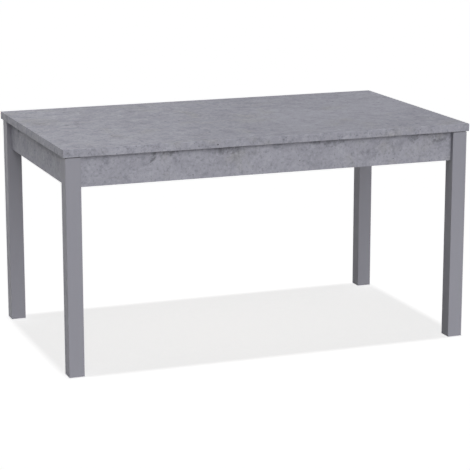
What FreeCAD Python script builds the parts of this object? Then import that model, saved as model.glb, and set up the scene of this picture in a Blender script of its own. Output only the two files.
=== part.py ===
# Extendable dining table with a one-piece sliding top and a leaf stored inside the frame.
# Millimetres. The origin is on the floor under the middle of the closed table:
# X runs along the table, Y across it (front is -Y), Z up.
import FreeCAD, Part
import math
import os
import re
import Sketcher

# ---------------------------------------------------------------- sizes

SIZES = {
    # whole table
    "table_length": 1400,
    "table_width": 800,
    "table_height": 735,
    "top_thickness": 25,
    "overhang_x": 7,
    "overhang_y": 3,
    "top_gap": 2.5,
    "travel": 400,
    # laminate edge bands
    "band_thickness": 1,
    "band_easing": 0.6,
    # legs and glides
    "leg_size": 50,
    "leg_easing": 0.8,
    "leg_flat": 8,
    "glide_height": 2,
    "glide_diameter": 36,
    "glide_pin_diameter": 6,
    "glide_pin_length": 18,
    "glide_chamfer": 0.6,
    "pin_chamfer": 1,
    # aprons and their dowels
    "apron_height": 96,
    "apron_thickness": 18,
    "apron_setback": 15,
    "dowel_diameter": 8,
    "dowel_length": 30,
    "dowel_chamfer": 1,
    "dowel_from_foot": 14,
    "dowel_from_top": 24,
    # corner brackets
    "corner_reach": 62,
    "corner_flange": 26,
    "bracket_rise": 6.5,
    "bracket_room": 15,
    "flange_screw_shift": 2,
    "plate": 2,
    "bolt_diameter": 8,
    "bolt_length": 72,
    "bolt_grip": 30,
    "bolt_point": 6,
    "bolt_chamfer": 1,
    "bolt_play": 0.6,
    "washer_play": 0.2,
    "washer_height": 1.6,
    "nut_height": 6.4,
    "nut_radius": 7.52,
    # cross rails and their angle brackets
    "rail_width": 50,
    "rail_thickness": 18,
    "rail_rise": 1.5,
    "rail_inset": 240,
    "angle_leg": 25,
    "angle_width": 40,
    "angle_gap": 3,
    # ball-bearing slides
    "slide_height": 35,
    "slide_depth": 13.5,
    "slide_sheet": 1.2,
    "slide_margin": 4,
    "slide_lip": 4,
    "inner_start": 4.7,
    "inner_end": 14.1,
    "ball_diameter": 4.2,
    "ball_play": 0.3,
    "ball_offset": 8,
    "cage_sheet": 0.8,
    "cage_start": 3.4,
    "cage_end": 11,
    "cage_margin": 20,
    "pocket_play": 0.4,
    "bumper_length": 10,
    "bumper_play": 1,
    "bumper_relief": 11,
    "end_gap": 3,
    "stop_gap": 0.5,
    "outer_screw_inset": 90,
    "inner_screw_inset": 30,
    "ball_inset": 30,
    # bearers that join the top to its slides
    "bearer_width": 20,
    "bearer_height": 38,
    "bearer_screw_inset": 90,
    # leaf and its tray
    "leaf_play": 3.5,
    "leaf_clearance": 0.2,
    "tray_ledge": 18,
    "tray_wall": 12.5,
    "tray_base": 12,
    "tray_height": 37,
    "tray_end_gap": 5,
    "felt": 2,
    "felt_width": 14,
    "pad_height": 2.2,
    "pad_diameter": 14,
    "pad_chamfer": 0.5,
    "pad_inset": 140,
    "pad_pitch": 160,
    # screws
    "screw_diameter": 4,
    "screw_head": 8,
    "head_height": 1.8,
    "screw_length": 14,
    "long_screw": 46,
    "tray_screw": 29,
    "pilot_play": 0.1,
    "screw_point": 3,
    "head_chamfer": 0.8,
    "head_play": 0.4,
    # other clearances
    "fit_play": 0.1,
    "hole_bottom": 0.5,
    "cut_past": 1,
}

# ---------------------------------------------------------------- derived positions

LEG_OUT_X = "(table_length / 2 - overhang_x)"
LEG_OUT_Y = "(table_width / 2 - overhang_y)"
LEG_IN_X = f"({LEG_OUT_X} - leg_size)"
LEG_IN_Y = f"({LEG_OUT_Y} - leg_size)"
APRON_OUT_X = f"({LEG_OUT_X} - apron_setback)"
APRON_OUT_Y = f"({LEG_OUT_Y} - apron_setback)"
WELL_X = f"({APRON_OUT_X} - apron_thickness)"
WELL_Y = f"({APRON_OUT_Y} - apron_thickness)"
TOP_UNDERSIDE = "(table_height - top_thickness)"
FRAME_TOP = f"({TOP_UNDERSIDE} - top_gap)"
APRON_FOOT = f"({FRAME_TOP} - apron_height)"

RAIL_FOOT = f"({APRON_FOOT} + rail_rise)"
RAIL_TOP = f"({RAIL_FOOT} + rail_thickness)"
LEAF_FOOT = f"({RAIL_TOP} + tray_base + felt + leaf_clearance)"
LEAF_HALF = "(travel / 2)"
TRAY_IN = f"({LEAF_HALF} - tray_ledge + leaf_play)"
TRAY_STEP = f"({LEAF_HALF} + leaf_play)"
TRAY_OUT = f"({TRAY_STEP} + tray_wall)"

SLIDE_Z = f"({FRAME_TOP} - slide_margin - slide_height / 2)"
ANGLE_RISE = f"min(angle_leg; {SLIDE_Z} - slide_height / 2 - {RAIL_TOP} - angle_gap)"
SLIDE_LENGTH = f"(2 * ({LEG_IN_X} - end_gap))"
INNER_LENGTH = f"({SLIDE_LENGTH} - 2 * (bumper_length + stop_gap) - travel)"
INNER_HALF = "(slide_height / 2 - slide_sheet - ball_diameter - 2 * ball_play)"
BALL_Z = f"({INNER_HALF} + ball_play + ball_diameter / 2)"
CAGE_LENGTH = f"({INNER_LENGTH} - travel / 2 - cage_margin)"

BRACKET_HEIGHT = "(apron_height - slide_height - bracket_room)"
BRACKET_FOOT = f"({APRON_FOOT} + bracket_rise)"
BRACKET_MID = f"({BRACKET_FOOT} + {BRACKET_HEIGHT} / 2)"

SIDES = {"front": -1, "rear": 1}
ENDS = {"left": -1, "right": 1}
CORNERS = [(f"{side}_{end}", x, y) for side, y in SIDES.items() for end, x in ENDS.items()]

# ---------------------------------------------------------------- document and helpers

doc = FreeCAD.newDocument("extendable_table")
sheet = doc.addObject("Spreadsheet::Sheet", "Sizes")
for row, (name, size) in enumerate(SIZES.items(), 1):
    sheet.set(f"A{row}", name)
    sheet.set(f"B{row}", str(size))
    sheet.setAlias(f"B{row}", name)
doc.recompute()

ALIAS = re.compile(r"\b(" + "|".join(SIZES) + r")\b")
X_AXIS = FreeCAD.Vector(1, 0, 0)
Y_AXIS = FreeCAD.Vector(0, 1, 0)
Z_AXIS = FreeCAD.Vector(0, 0, 1)
UP = FreeCAD.Rotation()
DOWN = FreeCAD.Rotation(X_AXIS, 180)
ALONG_X = {1: FreeCAD.Rotation(Y_AXIS, 90), -1: FreeCAD.Rotation(Y_AXIS, -90)}
ALONG_Y = {1: FreeCAD.Rotation(X_AXIS, -90), -1: FreeCAD.Rotation(X_AXIS, 90)}

nodes = []
spots = {}


def linked(text):
    """The expression with every size name pointing at the sheet."""
    return ALIAS.sub(r"Sizes.\1", str(text))


def bind(item, prop, text):
    item.setExpression(prop, linked(text))


def place(item, spot, turn=UP):
    item.Placement = FreeCAD.Placement(FreeCAD.Vector(), turn)
    for axis, text in zip("xyz", spot):
        bind(item, f"Placement.Base.{axis}", text)


def outline(body, role, points):
    """A closed polygon on one of the body's own origin planes."""
    sketch = body.newObject("Sketcher::SketchObject", "outline")
    plane = next(item for item in body.Origin.OriginFeatures if item.Role == role)
    sketch.AttachmentSupport = [(plane, "")]
    sketch.MapMode = "FlatFace"
    values = [[float(sheet.evalExpression(linked(text))) for text in point] for point in points]
    corners = [FreeCAD.Vector(x, y, 0) for x, y in values]
    for start, end in zip(corners, corners[1:] + corners[:1]):
        sketch.addGeometry(Part.LineSegment(start, end))
    for index in range(len(points)):
        following = (index + 1) % len(points)
        sketch.addConstraint(Sketcher.Constraint("Coincident", index, 2, following, 1))
    for index, point in enumerate(points):
        for kind, value, text in zip(("DistanceX", "DistanceY"), values[index], point):
            number = sketch.addConstraint(Sketcher.Constraint(kind, -1, 1, index, 1, value))
            bind(sketch, f"Constraints[{number}]", text)
    return sketch


def new_body(label, spot, turn=UP, kept=True):
    body = doc.addObject("PartDesign::Body", label)
    place(body, spot, turn)
    spots[body.Name] = spot
    if kept:
        nodes.append(body)
    return body


def extrusion(label, spot, role, points, length, centred=False, kept=True):
    """A polygon pushed along its plane's normal."""
    body = new_body(label, spot, kept=kept)
    pad = body.newObject("PartDesign::Pad", "pad")
    pad.Profile = outline(body, role, points)
    pad.Midplane = centred
    bind(pad, "Length", length)
    return body


def rectangle(length, width):
    x = f"{length} / 2"
    y = f"{width} / 2"
    return [(f"-{x}", f"-{y}"), (x, f"-{y}"), (x, y), (f"-{x}", y)]


def board(label, length, width, height, spot):
    """A rectangular board standing on the middle of its lower face."""
    return extrusion(label, spot, "XY_Plane", rectangle(length, width), height)


def turned(label, points, spot=("0", "0", "0"), kept=False):
    """A round piece turned about Z; a fastener points up with its bearing face at Z = 0."""
    body = new_body(label, spot, kept=kept)
    turn = body.newObject("PartDesign::Revolution", "turn")
    sketch = outline(body, "XZ_Plane", points)
    turn.Profile = sketch
    turn.ReferenceAxis = (sketch, ["V_Axis"])
    turn.Angle = 360
    return body


def drill(body, holes, turn, diameter, depth):
    """Round holes at table positions, each running the way the turn points."""
    for spot in holes:
        hole = body.newObject("PartDesign::SubtractiveCylinder", "hole")
        bind(hole, "Radius", f"({diameter}) / 2")
        bind(hole, "Height", depth)
        place(hole, [f"{here} - {base}" for here, base in zip(spot, spots[body.Name])], turn)


def counterbore(body, spots, thickness):
    """Holes up through a board for screws whose heads sit in recesses in its lower face."""
    below = [(x, y, f"({z} - head_height - cut_past)") for x, y, z in spots]
    drill(body, below, UP, PILOT, f"{thickness} + 2 * cut_past")
    drill(body, below, UP, "screw_head + head_play", "head_height + cut_past")


def group(label, placed):
    """One node made of copies of (item, spot, turn)."""
    copies = []
    for item, spot, turn in placed:
        copy = doc.addObject("App::Link", f"{label}_copy")
        copy.LinkedObject = item
        copy.LinkTransform = False
        place(copy, spot, turn)
        copies.append(copy)
    bundle = doc.addObject("Part::Compound", label)
    bundle.Links = copies
    nodes.append(bundle)
    return bundle


def row_of(count, length, inset, centre="0"):
    """Positions of an even row whose ends keep an inset from the ends of a length."""
    return [f"({centre} + {index / (count - 1) - 0.5} * ({length} - 2 * {inset}))"
            for index in range(count)]


# ---------------------------------------------------------------- fastener masters

PILOT = "screw_diameter + pilot_play"


def screw(label, length):
    return turned(label, [
        ("0", "-head_height"),
        ("screw_head / 2 - head_chamfer", "-head_height"),
        ("screw_head / 2", "-head_height + head_chamfer"),
        ("screw_head / 2", "0"),
        ("screw_diameter / 2", "0"),
        ("screw_diameter / 2", f"{length} - screw_point"),
        ("0", length),
    ])


short_screw = screw("short_screw", "screw_length")
bearer_screw = screw("bearer_screw", "long_screw")
tray_screw = screw("tray_screw_master", "tray_screw")
hanger_bolt = turned("hanger_bolt", [
    ("0", "0"),
    ("bolt_chamfer", "0"),
    ("bolt_diameter / 2", "bolt_point"),
    ("bolt_diameter / 2", "bolt_length - bolt_chamfer"),
    ("bolt_diameter / 2 - bolt_chamfer", "bolt_length"),
    ("0", "bolt_length"),
])
washer = turned("washer", [
    ("bolt_diameter / 2 + washer_play", "0"),
    ("bolt_diameter", "0"),
    ("bolt_diameter", "washer_height"),
    ("bolt_diameter / 2 + washer_play", "washer_height"),
])
dowel = turned("dowel", [
    ("0", "0"),
    ("dowel_diameter / 2 - dowel_chamfer", "0"),
    ("dowel_diameter / 2", "dowel_chamfer"),
    ("dowel_diameter / 2", "dowel_length - dowel_chamfer"),
    ("dowel_diameter / 2 - dowel_chamfer", "dowel_length"),
    ("0", "dowel_length"),
])
rest_pad = turned("rest_pad", [
    ("0", "0"),
    ("pad_diameter / 2", "0"),
    ("pad_diameter / 2", "pad_height - pad_chamfer"),
    ("pad_diameter / 2 - pad_chamfer", "pad_height"),
    ("0", "pad_height"),
])
nut_corners = [
    (f"nut_radius * {math.cos(turn):.8f}", f"nut_radius * {math.sin(turn):.8f}")
    for turn in (math.pi * side / 3 for side in range(6))
]
nut = extrusion("nut", ("0", "0", "0"), "XY_Plane", nut_corners, "nut_height", kept=False)
drill(nut, [("0", "0", "-cut_past")], UP, "bolt_diameter + fit_play", "nut_height + 2 * cut_past")
ball = doc.addObject("Part::Sphere", "ball")
bind(ball, "Radius", "ball_diameter / 2")

# ---------------------------------------------------------------- laminated boards


def laminated(name, length, width, thickness, spot):
    """A board with four edge bands; the long bands cover the short ones' ends."""
    x, y, z = spot
    core = board(f"{name}_board", f"({length} - 2 * band_thickness)",
                 f"({width} - 2 * band_thickness)", thickness, spot)
    for side, sign in SIDES.items():
        edge = f"{sign} * {width} / 2"
        section = band_section(f"{-sign} * band_thickness", f"{-sign} * band_easing", thickness)
        extrusion(f"{name}_band_{side}", (x, f"{y} + {edge}", z), "YZ_Plane", section, length, True)
    for end, sign in ENDS.items():
        edge = f"{sign} * {length} / 2"
        section = band_section(f"{-sign} * band_thickness", f"{-sign} * band_easing", thickness)
        extrusion(f"{name}_band_{end}", (f"{x} + {edge}", y, z), "XZ_Plane", section,
                  f"({width} - 2 * band_thickness)", True)
    return core


def band_section(inward, eased, thickness):
    """Edge band section with both outer arrises eased, outer face on the vertical axis."""
    return [
        ("0", "band_easing"),
        (eased, "0"),
        (inward, "0"),
        (inward, thickness),
        (eased, thickness),
        ("0", f"{thickness} - band_easing"),
    ]


# ---------------------------------------------------------------- sliding top

top_board = laminated("top", "table_length", "table_width", "top_thickness", ("0", "0", TOP_UNDERSIDE))
laminated("leaf", "table_width", "travel", "top_thickness", ("0", "0", LEAF_FOOT))

BEARER_FOOT = f"({TOP_UNDERSIDE} - bearer_height)"
INNER_X = "(-travel / 2)"
inner_screws = []
bearer_screws = []
for side, sign in SIDES.items():
    face = f"({sign} * ({WELL_Y} - inner_end))"
    middle = f"({sign} * ({WELL_Y} - inner_end - bearer_width / 2))"
    bearer = board(f"bearer_{side}", INNER_LENGTH, "bearer_width", "bearer_height",
                   (INNER_X, middle, BEARER_FOOT))
    across = [(x, f"({sign} * ({WELL_Y} - inner_end + slide_sheet))", SLIDE_Z)
              for x in row_of(5, INNER_LENGTH, "inner_screw_inset", INNER_X)]
    upward = [(x, middle, f"({BEARER_FOOT} + head_height)")
              for x in row_of(4, INNER_LENGTH, "bearer_screw_inset", INNER_X)]
    drill(bearer, across, ALONG_Y[-sign], PILOT, "screw_length + hole_bottom")
    counterbore(bearer, upward, "bearer_height")
    drill(top_board, upward, UP, PILOT, "long_screw + hole_bottom")
    inner_screws += [(short_screw, spot, ALONG_Y[-sign]) for spot in across]
    bearer_screws += [(bearer_screw, spot, UP) for spot in upward]

    flange = f"{-sign} * (inner_start - inner_end)"
    web = f"{sign} * slide_sheet"
    rail = extrusion(f"slide_inner_{side}", (INNER_X, face, SLIDE_Z), "YZ_Plane", [
        ("0", f"-{INNER_HALF}"),
        ("0", INNER_HALF),
        (flange, INNER_HALF),
        (flange, f"{INNER_HALF} - slide_sheet"),
        (web, f"{INNER_HALF} - slide_sheet"),
        (web, f"-{INNER_HALF} + slide_sheet"),
        (flange, f"-{INNER_HALF} + slide_sheet"),
        (flange, f"-{INNER_HALF}"),
    ], INNER_LENGTH, True)
    drill(rail, across, ALONG_Y[-sign], PILOT, "screw_length")
group("slide_inner_screws", inner_screws)
group("bearer_screws", bearer_screws)

# ---------------------------------------------------------------- ball cages

for side, sign in SIDES.items():
    cage_x = "(-travel / 4)"
    outer = f"{-sign} * cage_end"
    back = f"{-sign} * cage_start"
    inside = f"{-sign} * (cage_start + cage_sheet)"
    rim = f"({BALL_Z} + cage_sheet / 2)"
    ledge = f"({BALL_Z} - cage_sheet / 2)"
    cage = extrusion(f"ball_cage_{side}", (cage_x, f"{sign} * {WELL_Y}", SLIDE_Z), "YZ_Plane", [
        (back, f"-{rim}"),
        (outer, f"-{rim}"),
        (outer, f"-{ledge}"),
        (inside, f"-{ledge}"),
        (inside, ledge),
        (outer, ledge),
        (outer, rim),
        (back, rim),
    ], CAGE_LENGTH, True)
    ball_row = [(x, f"({sign} * ({WELL_Y} - ball_offset))")
                for x in row_of(10, CAGE_LENGTH, "ball_inset", cage_x)]
    drill(cage, [(x, y, f"({SLIDE_Z} - slide_height / 2)") for x, y in ball_row], UP,
          "ball_diameter + pocket_play", "slide_height")
    group(f"balls_{side}", [(ball, (x, y, f"({SLIDE_Z} + {level} * {BALL_Z})"), UP)
                            for x, y in ball_row for level in (-1, 1)])

# ---------------------------------------------------------------- legs and glides

DOWEL_LEVELS = (f"({APRON_FOOT} + dowel_from_foot)", f"({FRAME_TOP} - dowel_from_top)")
APRON_MID_X = f"({APRON_OUT_X} - apron_thickness / 2)"
APRON_MID_Y = f"({APRON_OUT_Y} - apron_thickness / 2)"
HALF_DOWEL = "(dowel_length / 2)"
DOWEL_HOLE = "dowel_diameter + fit_play"
GLIDE_HOLE = "glide_height + glide_pin_length + 2 * hole_bottom"
ROOT_HALF = math.sqrt(0.5)

dowels = []
bolts = []
washers = []
nuts = []
for corner, x, y in CORNERS:
    half = "leg_size / 2"
    cut = "(leg_size / 2 - leg_easing)"
    section = [
        (f"-{cut}", f"-{half}"), (cut, f"-{half}"), (half, f"-{cut}"), (half, cut),
        (cut, half), (f"-{cut}", half), (f"-{half}", cut), (f"-{half}", f"-{cut}"),
    ]
    middle = (f"({x} * ({LEG_OUT_X} - {half}))", f"({y} * ({LEG_OUT_Y} - {half}))")
    leg = extrusion(f"leg_{corner}", (*middle, "glide_height"), "XY_Plane", section,
                    f"({FRAME_TOP} - glide_height)")
    diagonal = FreeCAD.Rotation(Z_AXIS, FreeCAD.Vector(-x, -y, 0))
    outward = FreeCAD.Rotation(Z_AXIS, {(-1, -1): 45, (1, -1): 135, (1, 1): 225, (-1, 1): 315}[x, y])

    # flat on the inner arris, where the corner bracket's bolt goes in
    flat = leg.newObject("PartDesign::SubtractiveBox", "flat")
    bind(flat, "Length", "leg_flat")
    bind(flat, "Width", "leg_flat * 4")
    bind(flat, "Height", "apron_height + cut_past")
    sideways = FreeCAD.Vector(-x, -y, 0).cross(Z_AXIS)
    corner_x = f"{-x} * ({half} - leg_flat / 2)"
    corner_y = f"{-y} * ({half} - leg_flat / 2)"
    place(flat, (f"{corner_x} + {sideways.x} * leg_flat * 2 * {ROOT_HALF}",
                 f"{corner_y} + {sideways.y} * leg_flat * 2 * {ROOT_HALF}",
                 f"{APRON_FOOT} - glide_height"), outward)

    bolt_spot = (f"({x} * ({LEG_IN_X} + bolt_grip * {ROOT_HALF} + leg_flat / 2))",
                 f"({y} * ({LEG_IN_Y} + bolt_grip * {ROOT_HALF} + leg_flat / 2))", BRACKET_MID)
    drill(leg, [bolt_spot], diagonal, "bolt_diameter + fit_play", "bolt_length")
    bolts.append((hanger_bolt, bolt_spot, diagonal))
    washer_reach = f"corner_reach / 2 + plate * {ROOT_HALF}"
    nut_reach = f"corner_reach / 2 + (plate + washer_height) * {ROOT_HALF}"
    washer_spot = (f"({x} * ({WELL_X} - ({washer_reach})))", f"({y} * ({WELL_Y} - ({washer_reach})))",
                   BRACKET_MID)
    nut_spot = (f"({x} * ({WELL_X} - ({nut_reach})))", f"({y} * ({WELL_Y} - ({nut_reach})))",
                BRACKET_MID)
    washers.append((washer, washer_spot, diagonal))
    nuts.append((nut, nut_spot, diagonal))

    # dowels that join the leg to both aprons
    for level in DOWEL_LEVELS:
        into_x = (f"({x} * ({LEG_IN_X} - {HALF_DOWEL}))", f"({y} * {APRON_MID_Y})", level)
        into_y = (f"({x} * {APRON_MID_X})", f"({y} * ({LEG_IN_Y} - {HALF_DOWEL}))", level)
        dowels += [(dowel, into_x, ALONG_X[x]), (dowel, into_y, ALONG_Y[y])]
        drill(leg, [into_x], ALONG_X[x], DOWEL_HOLE, "dowel_length + hole_bottom")
        drill(leg, [into_y], ALONG_Y[y], DOWEL_HOLE, "dowel_length + hole_bottom")
    drill(leg, [(*middle, "0")], UP, "glide_pin_diameter + fit_play", GLIDE_HOLE)

    turned(f"glide_{corner}", [
        ("0", "0"),
        ("glide_diameter / 2 - glide_chamfer", "0"),
        ("glide_diameter / 2", "glide_chamfer"),
        ("glide_diameter / 2", "glide_height"),
        ("glide_pin_diameter / 2", "glide_height"),
        ("glide_pin_diameter / 2", "glide_height + glide_pin_length - pin_chamfer"),
        ("glide_pin_diameter / 2 - pin_chamfer", "glide_height + glide_pin_length"),
        ("0", "glide_height + glide_pin_length"),
    ], (*middle, "0"), kept=True)
group("apron_dowels", dowels)
group("hanger_bolts", bolts)
group("bolt_washers", washers)
group("bolt_nuts", nuts)

# ---------------------------------------------------------------- aprons

aprons = {}
for side, sign in SIDES.items():
    apron = board(f"apron_{side}", f"(2 * {LEG_IN_X})", "apron_thickness", "apron_height",
                  ("0", f"({sign} * {APRON_MID_Y})", APRON_FOOT))
    aprons[side] = apron
    for x in ENDS.values():
        ends = [(f"({x} * ({LEG_IN_X} - {HALF_DOWEL} - hole_bottom))", f"({sign} * {APRON_MID_Y})", level)
                for level in DOWEL_LEVELS]
        drill(apron, ends, ALONG_X[x], DOWEL_HOLE, "dowel_length")
for end, sign in ENDS.items():
    apron = board(f"apron_{end}", "apron_thickness", f"(2 * {LEG_IN_Y})", "apron_height",
                  (f"({sign} * {APRON_MID_X})", "0", APRON_FOOT))
    aprons[end] = apron
    for y in SIDES.values():
        ends = [(f"({sign} * {APRON_MID_X})", f"({y} * ({LEG_IN_Y} - {HALF_DOWEL} - hole_bottom))", level)
                for level in DOWEL_LEVELS]
        drill(apron, ends, ALONG_Y[y], DOWEL_HOLE, "dowel_length")

# ---------------------------------------------------------------- corner brackets

BEND_SHARE = math.tan(math.pi / 8)
bracket_screws = []
for corner, x, y in CORNERS:
    flat_end = "corner_reach + corner_flange"
    bend = f"corner_reach + plate * {BEND_SHARE}"
    shape = [(flat_end, "0"), ("corner_reach", "0"), ("0", "corner_reach"), ("0", flat_end),
             ("plate", flat_end), ("plate", bend), (bend, "plate"), (flat_end, "plate")]
    inner_corner = (f"({x} * {WELL_X})", f"({y} * {WELL_Y})")
    section = [(f"{-x} * ({u})", f"{-y} * ({v})") for u, v in shape]
    bracket = extrusion(f"corner_bracket_{corner}", (*inner_corner, BRACKET_FOOT), "XY_Plane",
                        section, BRACKET_HEIGHT)
    diagonal = FreeCAD.Rotation(Z_AXIS, FreeCAD.Vector(-x, -y, 0))
    drill(bracket, [(*inner_corner, BRACKET_MID)], diagonal,
          "bolt_diameter + bolt_play", "corner_reach")
    along = "corner_reach + corner_flange / 2 + flange_screw_shift"
    side = "front" if y < 0 else "rear"
    end = "left" if x < 0 else "right"
    for level in (-1, 1):
        height = f"({BRACKET_MID} + {level} * {BRACKET_HEIGHT} / 4)"
        on_side = (f"({x} * ({WELL_X} - ({along})))", f"({y} * ({WELL_Y} - plate))", height)
        on_end = (f"({x} * ({WELL_X} - plate))", f"({y} * ({WELL_Y} - ({along})))", height)
        for spot, turn, apron in ((on_side, ALONG_Y[y], aprons[side]), (on_end, ALONG_X[x], aprons[end])):
            drill(bracket, [spot], turn, PILOT, "plate + cut_past")
            drill(apron, [spot], turn, PILOT, "screw_length + hole_bottom")
            bracket_screws.append((short_screw, spot, turn))
group("corner_bracket_screws", bracket_screws)

# ---------------------------------------------------------------- cross rails

RAIL_SPOTS = dict(zip(("left", "middle", "right"), row_of(3, f"(2 * {WELL_X})", "rail_inset")))
angle_screws = []
angle_spots = []
rails = {}
for name, x in RAIL_SPOTS.items():
    rails[name] = board(f"cross_rail_{name}", "rail_width", f"(2 * {WELL_Y})", "rail_thickness",
                        (x, "0", RAIL_FOOT))
angles = {}
for side, sign in SIDES.items():
    angles[side] = extrusion(f"angle_{side}", ("0", "0", "0"), "YZ_Plane", [
        ("0", "0"),
        (f"{-sign} * angle_leg", "0"),
        (f"{-sign} * angle_leg", "plate"),
        (f"{-sign} * plate", "plate"),
        (f"{-sign} * plate", ANGLE_RISE),
        ("0", ANGLE_RISE),
    ], "angle_width", True, kept=False)
    for offset in row_of(2, "angle_width", "angle_width / 4"):
        drill(angles[side], [(offset, f"{-sign} * plate * 1.5", f"{ANGLE_RISE} * 0.6")], ALONG_Y[sign],
              PILOT, "plate * 2")
        drill(angles[side], [(offset, f"{-sign} * angle_leg * 0.6", "plate * 1.5")], DOWN,
              PILOT, "plate * 2")
    for name, x in RAIL_SPOTS.items():
        angle_spots.append((angles[side], (x, f"{sign} * {WELL_Y}", RAIL_TOP), UP))
        for offset in row_of(2, "angle_width", "angle_width / 4"):
            here = f"({x} + {offset})"
            wall = (here, f"({sign} * ({WELL_Y} - plate))", f"({RAIL_TOP} + {ANGLE_RISE} * 0.6)")
            floor = (here, f"({sign} * ({WELL_Y} - angle_leg * 0.6))", f"({RAIL_TOP} + plate)")
            drill(aprons[side], [wall], ALONG_Y[sign], PILOT, "screw_length + hole_bottom")
            drill(rails[name], [floor], DOWN, PILOT, "screw_length + hole_bottom")
            angle_screws += [(short_screw, wall, ALONG_Y[sign]), (short_screw, floor, DOWN)]
group("rail_angles", angle_spots)
group("rail_angle_screws", angle_screws)

# ---------------------------------------------------------------- fixed slide rails

outer_screws = []
bumpers = []
for side, sign in SIDES.items():
    half = "slide_height / 2"
    deep = f"{-sign} * slide_depth"
    lip = f"{-sign} * (slide_depth - slide_sheet)"
    web = f"{-sign} * slide_sheet"
    rail = extrusion(f"slide_outer_{side}", ("0", f"{sign} * {WELL_Y}", SLIDE_Z), "YZ_Plane", [
        ("0", f"-{half}"),
        (deep, f"-{half}"),
        (deep, f"-{half} + slide_lip"),
        (lip, f"-{half} + slide_lip"),
        (lip, f"-{half} + slide_sheet"),
        (web, f"-{half} + slide_sheet"),
        (web, f"{half} - slide_sheet"),
        (lip, f"{half} - slide_sheet"),
        (lip, f"{half} - slide_lip"),
        (deep, f"{half} - slide_lip"),
        (deep, half),
        ("0", half),
    ], SLIDE_LENGTH, True)
    through = [(x, f"({sign} * ({WELL_Y} - slide_sheet))", SLIDE_Z)
               for x in row_of(6, SLIDE_LENGTH, "outer_screw_inset")]
    drill(rail, [(x, f"({sign} * ({WELL_Y} - slide_sheet - cut_past))", z) for x, _, z in through],
          ALONG_Y[sign], PILOT, "slide_sheet + 2 * cut_past")
    drill(aprons[side], through, ALONG_Y[sign], PILOT, "screw_length + hole_bottom")
    outer_screws += [(short_screw, spot, ALONG_Y[sign]) for spot in through]
    bumper = extrusion(f"bumper_{side}", ("0", "0", "0"), "XY_Plane",
                       rectangle("bumper_length", "(slide_depth - slide_sheet - bumper_play)"),
                       "(slide_height - bumper_relief)", kept=False)
    bumper_y = f"({sign} * ({WELL_Y} - slide_sheet / 2 - slide_depth / 2 + bumper_play / 2))"
    for x in ENDS.values():
        bumpers.append((bumper, (f"({x} * ({SLIDE_LENGTH} / 2 - bumper_length / 2))", bumper_y,
                                 f"({SLIDE_Z} - (slide_height - bumper_relief) / 2)"), UP))
group("slide_outer_screws", outer_screws)
group("slide_bumpers", bumpers)

# ---------------------------------------------------------------- leaf tray and rest pads

tray_screws = []
felts = []
for side, sign in SIDES.items():
    tray = extrusion(f"leaf_guide_{side}", ("0", "0", RAIL_TOP), "YZ_Plane", [
        (f"{sign} * {TRAY_IN}", "0"),
        (f"{sign} * {TRAY_OUT}", "0"),
        (f"{sign} * {TRAY_OUT}", "tray_height"),
        (f"{sign} * {TRAY_STEP}", "tray_height"),
        (f"{sign} * {TRAY_STEP}", "tray_base"),
        (f"{sign} * {TRAY_IN}", "tray_base"),
    ], f"(2 * ({WELL_X} - tray_end_gap))", True)
    below = [(x, f"({sign} * ({TRAY_STEP} + tray_wall / 2))", f"({RAIL_FOOT} + head_height)")
             for x in RAIL_SPOTS.values()]
    drill(tray, below, UP, PILOT, "tray_screw + hole_bottom")
    for name, spot in zip(RAIL_SPOTS, below):
        counterbore(rails[name], [spot], "rail_thickness")
    tray_screws += [(tray_screw, spot, UP) for spot in below]
    board(f"leaf_felt_{side}", f"(2 * ({WELL_X} - tray_end_gap))", "felt_width", "felt",
          ("0", f"({sign} * ({TRAY_STEP} - tray_ledge / 2))", f"({RAIL_TOP} + tray_base)"))
group("leaf_guide_screws", tray_screws)

pads = []
for y in SIDES.values():
    pads.append((f"(-{LEG_OUT_X} + leg_size / 2)", f"({y} * ({LEG_OUT_Y} - leg_size / 2))"))
    pads.append((f"(-{LEG_IN_X} + pad_inset)", f"({y} * {APRON_MID_Y})"))
    pads.append((f"(-{LEG_IN_X} + pad_inset + pad_pitch)", f"({y} * {APRON_MID_Y})"))
    pads.append((f"(-{APRON_MID_X})", f"({y} * pad_pitch)"))
group("leaf_rest_pads", [(rest_pad, (x, y, FRAME_TOP), UP) for x, y in pads])

# ---------------------------------------------------------------- checks and export

doc.recompute()
for item in doc.Objects:
    assert not {"Invalid", "Error"} & set(item.State), f"{item.Label}: {item.State}"
    if item.TypeId.startswith("PartDesign::Subtractive"):
        removed = item.BaseFeature.Shape.Volume - item.Shape.Volume
        assert removed > 1, f"{item.Label} cuts nothing"
for item in nodes:
    shape = item.Shape
    assert not shape.isNull() and shape.isValid(), f"{item.Label} has no valid shape"
    assert shape.Volume > 1, f"{item.Label} is empty"

os.makedirs("parts", exist_ok=True)
for item in nodes:
    item.Shape.exportStep(f"parts/{item.Label}.step")
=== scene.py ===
"""Extendable dining table: materials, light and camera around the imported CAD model."""
import math

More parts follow.
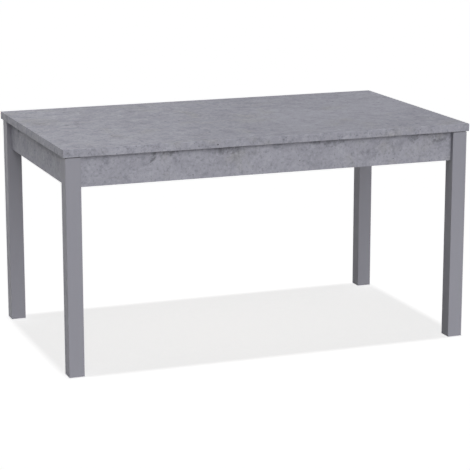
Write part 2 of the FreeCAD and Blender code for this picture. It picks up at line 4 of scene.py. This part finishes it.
import bpy
from mathutils import Euler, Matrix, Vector


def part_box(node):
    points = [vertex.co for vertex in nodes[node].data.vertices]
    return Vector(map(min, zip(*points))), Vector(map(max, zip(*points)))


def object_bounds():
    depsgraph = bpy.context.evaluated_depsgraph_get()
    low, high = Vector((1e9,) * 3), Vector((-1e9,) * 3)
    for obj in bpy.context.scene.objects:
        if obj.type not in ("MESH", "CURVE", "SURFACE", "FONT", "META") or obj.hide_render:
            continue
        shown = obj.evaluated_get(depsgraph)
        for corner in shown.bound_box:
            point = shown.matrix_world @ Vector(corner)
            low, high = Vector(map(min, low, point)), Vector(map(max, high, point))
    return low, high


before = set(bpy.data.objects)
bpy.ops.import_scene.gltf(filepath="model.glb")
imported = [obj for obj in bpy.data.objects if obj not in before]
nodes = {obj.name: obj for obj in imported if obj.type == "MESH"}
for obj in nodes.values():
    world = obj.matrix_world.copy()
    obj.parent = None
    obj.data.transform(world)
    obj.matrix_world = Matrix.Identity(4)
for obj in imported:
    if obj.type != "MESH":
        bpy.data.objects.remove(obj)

cad_low, cad_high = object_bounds()

# ---------------------------------------------------------------- node graph helper

# A Mix node has sockets of the same name for each kind of data. These are its colour ones.
MIX_FIRST = 6
MIX_SECOND = 7
MIX_RESULT = 2


def rgb(red, green, blue):
    """A linear colour with full opacity."""
    return (red, green, blue, 1.0)


class Graph:
    """One procedural material, with short calls for the nodes it is built from."""

    def __init__(self, name, roughness=0.5, metallic=0.0, specular=0.5):
        self.material = bpy.data.materials.new(name)
        self.material.use_nodes = True
        self.tree = self.material.node_tree
        self.tree.nodes.clear()
        self.output = self.add("ShaderNodeOutputMaterial")
        self.shader = self.add("ShaderNodeBsdfPrincipled")
        self.surface(self.shader.outputs["BSDF"])
        self.shader.inputs["Roughness"].default_value = roughness
        self.shader.inputs["Metallic"].default_value = metallic
        self.shader.inputs["Specular IOR Level"].default_value = specular
        self.place = self.add("ShaderNodeTexCoord").outputs["Object"]

    def add(self, kind, **settings):
        """Adds a node and sets its plain properties."""
        node = self.tree.nodes.new(kind)
        for name, value in settings.items():
            setattr(node, name, value)
        return node

    def plug(self, node, name, value):
        """Links an output or sets a plain value on an input."""
        if isinstance(value, bpy.types.NodeSocket):
            self.tree.links.new(value, node.inputs[name])
        else:
            node.inputs[name].default_value = value

    def surface(self, shader):
        """Makes a shader output the one that the material shows."""
        self.tree.links.new(shader, self.output.inputs["Surface"])

    def mapped(self, stretch=(1, 1, 1), shift=(0, 0, 0)):
        """The place on the object, stretched and shifted."""
        node = self.add("ShaderNodeMapping")
        self.plug(node, "Vector", self.place)
        self.plug(node, "Scale", stretch)
        self.plug(node, "Location", shift)
        return node.outputs["Vector"]

    def noise(self, scale, detail=4.0, rough=0.5, distortion=0.0,
              stretch=(1, 1, 1), shift=(0, 0, 0)):
        """Noise from 0 to 1; scale is in waves per metre."""
        node = self.add("ShaderNodeTexNoise")
        self.plug(node, "Vector", self.mapped(stretch, shift))
        self.plug(node, "Scale", scale)
        self.plug(node, "Detail", detail)
        self.plug(node, "Roughness", rough)
        self.plug(node, "Distortion", distortion)
        return node.outputs["Fac"]

    def cells(self, scale, output="Distance", stretch=(1, 1, 1), shift=(0, 0, 0)):
        """Random cells: the distance to the middle of each, or a random colour for each."""
        node = self.add("ShaderNodeTexVoronoi", feature="F1")
        self.plug(node, "Vector", self.mapped(stretch, shift))
        self.plug(node, "Scale", scale)
        return node.outputs[output]

    def fit(self, value, low, high, to_low=0.0, to_high=1.0):
        """Maps low..high to to_low..to_high with a smooth, clamped step."""
        node = self.add("ShaderNodeMapRange", interpolation_type="SMOOTHSTEP")
        self.plug(node, "Value", value)
        self.plug(node, "From Min", low)
        self.plug(node, "From Max", high)
        self.plug(node, "To Min", to_low)
        self.plug(node, "To Max", to_high)
        return node.outputs["Result"]

    def maths(self, operation, first, second=0.0):
        """One sum, product or comparison."""
        node = self.add("ShaderNodeMath", operation=operation)
        self.plug(node, 0, first)
        self.plug(node, 1, second)
        return node.outputs["Value"]

    def mix(self, factor, first, second):
        """Blends two colours: a factor of 0 gives the first, 1 the second."""
        node = self.add("ShaderNodeMix", data_type="RGBA")
        self.plug(node, 0, factor)
        self.plug(node, MIX_FIRST, first)
        self.plug(node, MIX_SECOND, second)
        return node.outputs[MIX_RESULT]

    def switch(self, factor, first, second):
        """Blends two shaders: a factor of 0 gives the first, 1 the second."""
        node = self.add("ShaderNodeMixShader")
        self.plug(node, 0, factor)
        self.plug(node, 1, first)
        self.plug(node, 2, second)
        return node.outputs[0]

    def height(self):
        """The vertical place on the object, in metres."""
        node = self.add("ShaderNodeSeparateXYZ")
        self.plug(node, "Vector", self.place)
        return node.outputs["Z"]

    def finish(self, colour, roughness=None, bump=None, depth=0.0002, strength=1.0):
        """Sets colour, gloss and a fine bump whose depth is in metres."""
        self.plug(self.shader, "Base Color", colour)
        if roughness is not None:
            self.plug(self.shader, "Roughness", roughness)
        if bump is not None:
            node = self.add("ShaderNodeBump")
            self.plug(node, "Height", bump)
            self.plug(node, "Distance", depth)
            self.plug(node, "Strength", strength)
            self.plug(self.shader, "Normal", node.outputs["Normal"])
        return self.material


# ---------------------------------------------------------------- materials

CONCRETE_PALE = rgb(0.350, 0.350, 0.394)
CONCRETE_LIGHT = rgb(0.284, 0.284, 0.323)
CONCRETE_MID = rgb(0.252, 0.252, 0.288)
CONCRETE_DARK = rgb(0.146, 0.146, 0.171)
CONCRETE_WARM = rgb(0.266, 0.264, 0.264)
STAIN_AND_SHADE = rgb(0.085, 0.085, 0.099)
PIT = rgb(0.045, 0.045, 0.055)
PIT_CELLS = 30.0
SPECK_CELLS = 95.0
FOIL_LIGHT = rgb(0.44, 0.44, 0.45)
FOIL_DARK = rgb(0.39, 0.39, 0.40)
FOIL_FIBRE = rgb(0.30, 0.30, 0.31)
FOIL_THICKNESS = 0.0003

LACQUER_DARK = rgb(0.226, 0.225, 0.256)
LACQUER_LIGHT = rgb(0.238, 0.237, 0.269)
LACQUER_RUBBED = rgb(0.272, 0.271, 0.301)

BEECH_PINK = rgb(0.55, 0.36, 0.20)
BEECH_PALE = rgb(0.64, 0.45, 0.27)
BEECH_RING = rgb(0.42, 0.25, 0.13)
BEECH_PORE = rgb(0.27, 0.15, 0.08)

CHIP_DARK = rgb(0.30, 0.20, 0.115)
CHIP_LIGHT = rgb(0.56, 0.42, 0.27)
CHIP_DUST = rgb(0.20, 0.13, 0.07)
CHIP_CELLS = 260.0
CHIP_STRETCH = (0.45, 1.0, 1.0)

SHEET_DARK = rgb(0.46, 0.47, 0.49)
SHEET_LIGHT = rgb(0.62, 0.63, 0.65)
SHEET_STREAK = rgb(0.36, 0.37, 0.39)
ZINC_LIGHT = rgb(0.66, 0.66, 0.67)
ZINC_DARK = rgb(0.50, 0.50, 0.51)
STEEL_LIGHT = rgb(0.74, 0.74, 0.75)
STEEL_DARK = rgb(0.62, 0.62, 0.64)
FELT_DARK = rgb(0.07, 0.07, 0.075)
FELT_LIGHT = rgb(0.16, 0.16, 0.17)

FLOOR_DARK = rgb(0.78, 0.78, 0.79)
FLOOR_LIGHT = rgb(0.80, 0.80, 0.81)
FLOOR_SHADE = rgb(1.0, 1.0, 1.0)
FLOOR_GLOW = 0.768


def shifted(shift, step):
    """The same shift, moved on by a step along each axis."""
    return tuple(part + step for part in shift)


def concrete(name, shift, stain_level, mottle, patchy, stain_and_shade_band=None, underside=None):
    """Concrete-pattern laminate: clouds, warm blotches, mottling, pits, veins and stains.

    The stains thicken towards the top of the height band given as a pair of heights. Near the
    apron's top edge, under the top's overhang, this darkening is partly real stains and partly
    painted shade. Below the height given as underside, the board shows its plain backing foil
    instead."""
    g = Graph(name, roughness=0.55, specular=0.22)
    clouds = g.noise(3.5, 4.0, 0.55, 0.5, shift=shift)
    patches = g.noise(24.0, 5.0, 0.62, 0.6, shift=shift)
    speckle = g.noise(85.0, 4.0, 0.72, 0.3, shift=shifted(shift, 1.7))
    fine = g.noise(380.0, 2.0, 0.6, shift=shift)
    warm = g.noise(7.0, 4.0, 0.6, 0.4, shift=shifted(shift, 7.3))
    dark_patch = g.fit(patches, 0.50, 0.74, 0.0, 0.42 * patchy)
    pale_patch = g.fit(patches, 0.48, 0.28, 0.0, 0.38 * patchy)
    dark_mottle = g.fit(speckle, 0.50, 0.70, 0.0, 0.60 * mottle)
    pale_mottle = g.fit(speckle, 0.48, 0.30, 0.0, 0.50 * mottle)
    colour = g.mix(g.fit(clouds, 0.36, 0.66), CONCRETE_MID, CONCRETE_LIGHT)
    colour = g.mix(g.fit(warm, 0.53, 0.70, 0.0, 0.6), colour, CONCRETE_WARM)
    colour = g.mix(dark_patch, colour, CONCRETE_DARK)
    colour = g.mix(pale_patch, colour, CONCRETE_PALE)
    colour = g.mix(dark_mottle, colour, CONCRETE_DARK)
    colour = g.mix(pale_mottle, colour, CONCRETE_PALE)
    colour = g.mix(g.fit(fine, 0.55, 0.85, 0.0, 0.35), colour, CONCRETE_DARK)

    vein_field = g.noise(9.0, 3.0, 0.5, 1.4, shift=shifted(shift, 3.1))
    vein = g.maths("ABSOLUTE", g.maths("SUBTRACT", vein_field, 0.5))
    vein_gate = g.noise(2.4, 2.0, shift=shifted(shift, -4.2))
    vein_gate = g.fit(vein_gate, 0.50, 0.62, 0.0, 0.35)
    vein_mask = g.maths("MULTIPLY", g.fit(vein, 0.012, 0.001), vein_gate)
    colour = g.mix(vein_mask, colour, CONCRETE_DARK)

    stains_and_shade = g.noise(10.0, 6.0, 0.70, 0.4, stretch=(0.8, 1.0, 1.2), shift=shifted(shift, 11.0))
    # Painted shade: towards the apron's top edge, under the top's overhang, the stains grow
    # denser and darker, partly real stains and partly painted shade.
    if stain_and_shade_band:
        low, high = stain_and_shade_band
        stains_and_shade = g.maths("ADD", stains_and_shade, g.fit(g.height(), low, high, 0.0, 0.11))
    stain_and_shade_mask = g.fit(stains_and_shade, stain_level, stain_level + 0.10, 0.0, 0.62)
    broken = g.fit(speckle, 0.34, 0.58, 0.30, 1.0)
    # This stain colour also paints the shade under the top's overhang.
    colour = g.mix(g.maths("MULTIPLY", stain_and_shade_mask, broken), colour, STAIN_AND_SHADE)

    ragged = g.maths("MULTIPLY", g.maths("SUBTRACT", fine, 0.5), 0.14)

    def dots(cells, least, largest):
        """Round marks with ragged rims, of a random size in each cell."""
        size = g.fit(g.cells(cells, output="Color", shift=shift), least, 1.0, 0.0, largest)
        reach = g.maths("ADD", g.cells(cells, shift=shift), ragged)
        return g.maths("LESS_THAN", reach, size)

    pits = dots(PIT_CELLS, 0.30, 0.13)
    specks = dots(SPECK_CELLS, 0.55, 0.20)
    colour = g.mix(g.maths("MULTIPLY", pits, 0.85), colour, PIT)
    colour = g.mix(g.maths("MULTIPLY", specks, 0.72), colour, STAIN_AND_SHADE)

    if underside:
        foil = g.mix(g.fit(speckle, 0.42, 0.60), FOIL_LIGHT, FOIL_DARK)
        foil = g.mix(g.fit(fine, 0.52, 0.80, 0.0, 0.5), foil, FOIL_FIBRE)
        on_foil = g.maths("LESS_THAN", g.height(), underside + FOIL_THICKNESS)
        colour = g.mix(on_foil, colour, foil)

    raised = g.maths("ADD", speckle, g.maths("MULTIPLY", fine, 0.5))
    sunk = g.maths("ADD", pits, g.maths("MULTIPLY", specks, 0.4))
    relief = g.maths("SUBTRACT", raised, sunk)
    gloss = g.fit(patches, 0.3, 0.7, 0.50, 0.64)
    return g.finish(colour, gloss, relief, depth=0.00012, strength=0.4)


def lacquer():
    """Matte grey lacquer on wood, with a faint roller texture and a tone rubbed along it."""
    g = Graph("matte_grey_lacquer", roughness=0.5, specular=0.35)
    tone = g.noise(5.0, 3.0, 0.5, stretch=(1, 1, 0.25))
    peel = g.noise(420.0, 2.0, 0.5)
    scuff = g.noise(60.0, 5.0, 0.7, stretch=(1, 1, 0.4))
    colour = g.mix(g.fit(tone, 0.3, 0.7), LACQUER_DARK, LACQUER_LIGHT)
    colour = g.mix(g.fit(scuff, 0.62, 0.78, 0.0, 0.25), colour, LACQUER_RUBBED)
    gloss = g.fit(scuff, 0.3, 0.7, 0.44, 0.56)
    return g.finish(colour, gloss, peel, depth=0.00006, strength=0.5)


def beech():
    """Unfinished beech along X: long grain, darker growth lines and short pore flecks."""
    g = Graph("beech_lengthwise", roughness=0.6, specular=0.3)
    grain = (0.06, 1.0, 1.0)
    rings = g.noise(110.0, 4.0, 0.55, 0.8, stretch=grain)
    tone = g.noise(6.0, 3.0, stretch=grain)
    flecks = g.noise(520.0, 2.0, 0.6, stretch=(0.12, 1.0, 1.0))
    colour = g.mix(g.fit(tone, 0.35, 0.65), BEECH_PINK, BEECH_PALE)
    colour = g.mix(g.fit(rings, 0.48, 0.66, 0.0, 0.55), colour, BEECH_RING)
    colour = g.mix(g.fit(flecks, 0.60, 0.72, 0.0, 0.60), colour, BEECH_PORE)
    gloss = g.fit(rings, 0.3, 0.7, 0.52, 0.70)
    return g.finish(colour, gloss, flecks, depth=0.0001, strength=0.5)


def chipboard():
    """Bare particle board: pressed chips of several tones."""
    g = Graph("bare_particle_board", roughness=0.85, specular=0.2)
    chips = g.cells(CHIP_CELLS, output="Color", stretch=CHIP_STRETCH)
    dust = g.noise(900.0, 2.0)
    colour = g.mix(g.fit(chips, 0.1, 0.9), CHIP_DARK, CHIP_LIGHT)
    colour = g.mix(g.fit(dust, 0.5, 0.8, 0.0, 0.5), colour, CHIP_DUST)
    relief = g.cells(CHIP_CELLS, stretch=CHIP_STRETCH)
    return g.finish(colour, None, relief, depth=0.0003, strength=0.6)


def galvanised():
    """Galvanised sheet with a soft spangle and rolling streaks."""
    g = Graph("galvanised_sheet", roughness=0.42, metallic=1.0)
    spangle = g.cells(170.0, output="Color")
    streak = g.noise(300.0, 3.0, 0.6, stretch=(0.05, 1, 1))
    colour = g.mix(g.fit(spangle, 0.1, 0.9), SHEET_DARK, SHEET_LIGHT)
    colour = g.mix(g.fit(streak, 0.5, 0.8, 0.0, 0.35), colour, SHEET_STREAK)
    gloss = g.fit(spangle, 0.1, 0.9, 0.34, 0.52)
    return g.finish(colour, gloss, streak, depth=0.00004, strength=0.4)


def zinc():
    """Bright zinc plating with small tool marks."""
    g = Graph("bright_zinc", roughness=0.3, metallic=1.0)
    marks = g.noise(700.0, 4.0, 0.7)
    colour = g.mix(g.fit(marks, 0.35, 0.75), ZINC_LIGHT, ZINC_DARK)
    gloss = g.fit(marks, 0.3, 0.7, 0.22, 0.42)
    return g.finish(colour, gloss, marks, depth=0.00004, strength=0.4)


def polished():
    """Polished bearing steel with a slight haze."""
    g = Graph("polished_steel", roughness=0.12, metallic=1.0)
    haze = g.noise(900.0, 3.0, 0.6)
    colour = g.mix(g.fit(haze, 0.4, 0.7), STEEL_LIGHT, STEEL_DARK)
    return g.finish(colour, g.fit(haze, 0.3, 0.7, 0.08, 0.2))


def felt():
    """Pressed grey felt: tangled fibres in small tufts."""
    g = Graph("grey_felt", roughness=0.95, specular=0.1)
    fibres = g.noise(900.0, 5.0, 0.75, 1.5)
    tufts = g.noise(220.0, 4.0, 0.7)
    colour = g.mix(g.fit(fibres, 0.35, 0.65), FELT_DARK, FELT_LIGHT)
    g.shader.inputs["Sheen Weight"].default_value = 0.4
    return g.finish(colour, None, g.maths("ADD", fibres, tufts), depth=0.0006, strength=0.9)


def moulded(name, dark, light):
    """Moulded plastic or rubber with a fine spark-eroded texture."""
    g = Graph(name, roughness=0.55, specular=0.4)
    texture = g.noise(1100.0, 2.0, 0.6)
    scuffs = g.noise(90.0, 4.0, 0.7)
    colour = g.mix(g.fit(scuffs, 0.45, 0.75), dark, light)
    gloss = g.fit(texture, 0.3, 0.7, 0.48, 0.62)
    return g.finish(colour, gloss, texture, depth=0.00008, strength=0.6)


def pale_floor():
    """Plain studio floor: white to the camera with a faint shadow, and clear from below."""
    g = Graph("pale_floor", roughness=0.9, specular=0.0)
    tone = g.noise(0.6, 2.0)
    g.finish(g.mix(g.fit(tone, 0.3, 0.7), FLOOR_DARK, FLOOR_LIGHT))
    glow = g.add("ShaderNodeEmission")
    g.plug(glow, "Strength", FLOOR_GLOW)
    shade = g.add("ShaderNodeBsdfDiffuse")
    g.plug(shade, "Color", FLOOR_SHADE)
    white = g.add("ShaderNodeAddShader")
    g.plug(white, 0, glow.outputs[0])
    g.plug(white, 1, shade.outputs[0])
    to_camera = g.add("ShaderNodeLightPath").outputs["Is Camera Ray"]
    from_above = g.switch(to_camera, g.shader.outputs["BSDF"], white.outputs[0])
    clear = g.add("ShaderNodeBsdfTransparent").outputs[0]
    from_below = g.add("ShaderNodeNewGeometry").outputs["Backfacing"]
    g.surface(g.switch(from_below, from_above, clear))
    return g.material


# Painted shade: over this depth below the apron's top edge the stains darken, partly real
# stains and partly painted shade under the top's overhang.
STAIN_AND_SHADE_BAND_DEPTH = 0.045
apron_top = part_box("apron_front")[1].z
stain_and_shade_band = (apron_top - STAIN_AND_SHADE_BAND_DEPTH, apron_top)
top_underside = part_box("top_board")[0].z
leaf_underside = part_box("leaf_board")[0].z

top_finish = concrete(
    "concrete_laminate_top", shift=(0.0, 0.0, 0.0), stain_level=0.605,
    mottle=1.2, patchy=1.1, underside=top_underside)
leaf_finish = concrete(
    "concrete_laminate_leaf", shift=(5.0, 2.0, 1.0), stain_level=0.605,
    mottle=1.2, patchy=1.1, underside=leaf_underside)
apron_finish = concrete(
    "concrete_laminate_apron", shift=(2.6, 0.4, 0.2), stain_level=0.61,
    mottle=1.15, patchy=1.2, stain_and_shade_band=stain_and_shade_band)
leg_finish = lacquer()
beech_finish = beech()
zinc_finish = zinc()
rubber_finish = moulded(
    "soft_rubber", rgb(0.030, 0.030, 0.031), rgb(0.055, 0.055, 0.056))
plastic_finish = moulded(
    "black_plastic", rgb(0.018, 0.018, 0.019), rgb(0.040, 0.040, 0.041))

# The first prefix that fits a node's name gives its finish.
FINISHES = (
    ("top_", top_finish),
    ("leaf_board", leaf_finish),
    ("leaf_band", leaf_finish),
    ("apron_dowels", beech_finish),
    ("apron_", apron_finish),
    ("leg_", leg_finish),
    ("glide_", plastic_finish),
    ("bearer_screws", zinc_finish),
    ("bearer_", beech_finish),
    ("leaf_guide_screws", zinc_finish),
    ("leaf_guide_", beech_finish),
    ("cross_rail_", chipboard()),
    ("leaf_felt_", felt()),
    ("leaf_rest_pads", rubber_finish),
    ("slide_bumpers", rubber_finish),
    ("balls_", polished()),
    ("corner_bracket_screws", zinc_finish),
    ("rail_angle_screws", zinc_finish),
    ("slide_inner_screws", zinc_finish),
    ("slide_outer_screws", zinc_finish),
    ("hanger_bolts", zinc_finish),
    ("bolt_", zinc_finish),
    ("", galvanised()),
)

for name, item in nodes.items():
    finish = next(material for prefix, material in FINISHES if name.startswith(prefix))
    item.data.materials.clear()
    item.data.materials.append(finish)

# ---------------------------------------------------------------- floor and light

FLOOR_SIZE = 60.0
FLOOR_DROP = 0.0002
AMBIENT = 0.05

bpy.ops.mesh.primitive_plane_add(size=FLOOR_SIZE, location=(0, 0, cad_low.z - FLOOR_DROP))
floor = bpy.context.object
floor.name = "studio_floor"
floor.data.materials.append(pale_floor())

scene = bpy.context.scene
scene.view_settings.view_transform = "Standard"

# The backdrop is white to the camera and gives the object only a little light.
world = bpy.data.worlds.new("studio")
scene.world = world
world.use_nodes = True
background = world.node_tree.nodes["Background"]
background.inputs["Color"].default_value = rgb(1.0, 1.0, 1.0)
direct_view = world.node_tree.nodes.new("ShaderNodeLightPath")
level = world.node_tree.nodes.new("ShaderNodeMapRange")
level.inputs["To Min"].default_value = AMBIENT
level.inputs["To Max"].default_value = 1.0
world.node_tree.links.new(direct_view.outputs["Is Camera Ray"], level.inputs["Value"])
world.node_tree.links.new(level.outputs["Result"], background.inputs["Strength"])

off_floor = bpy.data.collections.new("off_floor")
off_floor.objects.link(floor)
off_floor.collection_objects[0].light_linking.link_state = "EXCLUDE"


def aim(bearing, elevation):
    """The way light travels from a bearing (0 is the front, 90 the left end) and a height.

    Both are in degrees."""
    turn = math.radians(bearing)
    rise = math.radians(elevation)
    flat = math.cos(rise)
    return (math.sin(turn) * flat, math.cos(turn) * flat, -math.sin(rise))


def soft_sun(name, toward, strength, spread, on_floor=False):
    """A distant studio light along a direction; a wide spread makes its shadows soft.

    Unless on_floor is set, it passes through the floor and doesn't light it."""
    light = bpy.data.lights.new(name, "SUN")
    light.energy = strength
    light.angle = math.radians(spread)
    lamp = bpy.data.objects.new(name, light)
    scene.collection.objects.link(lamp)
    lamp.rotation_euler = Vector(toward).to_track_quat("-Z", "Y").to_euler()
    if not on_floor:
        lamp.light_linking.receiver_collection = off_floor
        lamp.light_linking.blocker_collection = off_floor


soft_sun("overhead", aim(0, 90), strength=0.58, spread=3, on_floor=True)
soft_sun("front_soft", aim(-3, 25), strength=3.00, spread=58)
soft_sun("left_soft", aim(90, 52), strength=1.66, spread=50)
soft_sun("rear_fill", aim(172, 8), strength=0.80, spread=52)
soft_sun("right_fill", aim(268, 8), strength=1.20, spread=44)
soft_sun("floor_return", aim(0, -90), strength=0.80, spread=90)

# ---------------------------------------------------------------- camera

VIEW_PLACE = (-2.2053, -5.8771, 1.7676)
VIEW_YAW = math.radians(20.709)
VIEW_PITCH = math.radians(12.943)
SENSOR_WIDTH = 36.0
FOCAL_LENGTH = 143.114
FAR_CLIP = 200.0

camera = bpy.data.objects.new("camera", bpy.data.cameras.new("camera"))
scene.collection.objects.link(camera)
scene.camera = camera
camera.location = VIEW_PLACE
camera.rotation_euler = Euler((math.pi / 2 - VIEW_PITCH, 0.0, -VIEW_YAW))
camera.data.sensor_width = SENSOR_WIDTH
camera.data.lens = FOCAL_LENGTH
camera.data.clip_end = FAR_CLIP
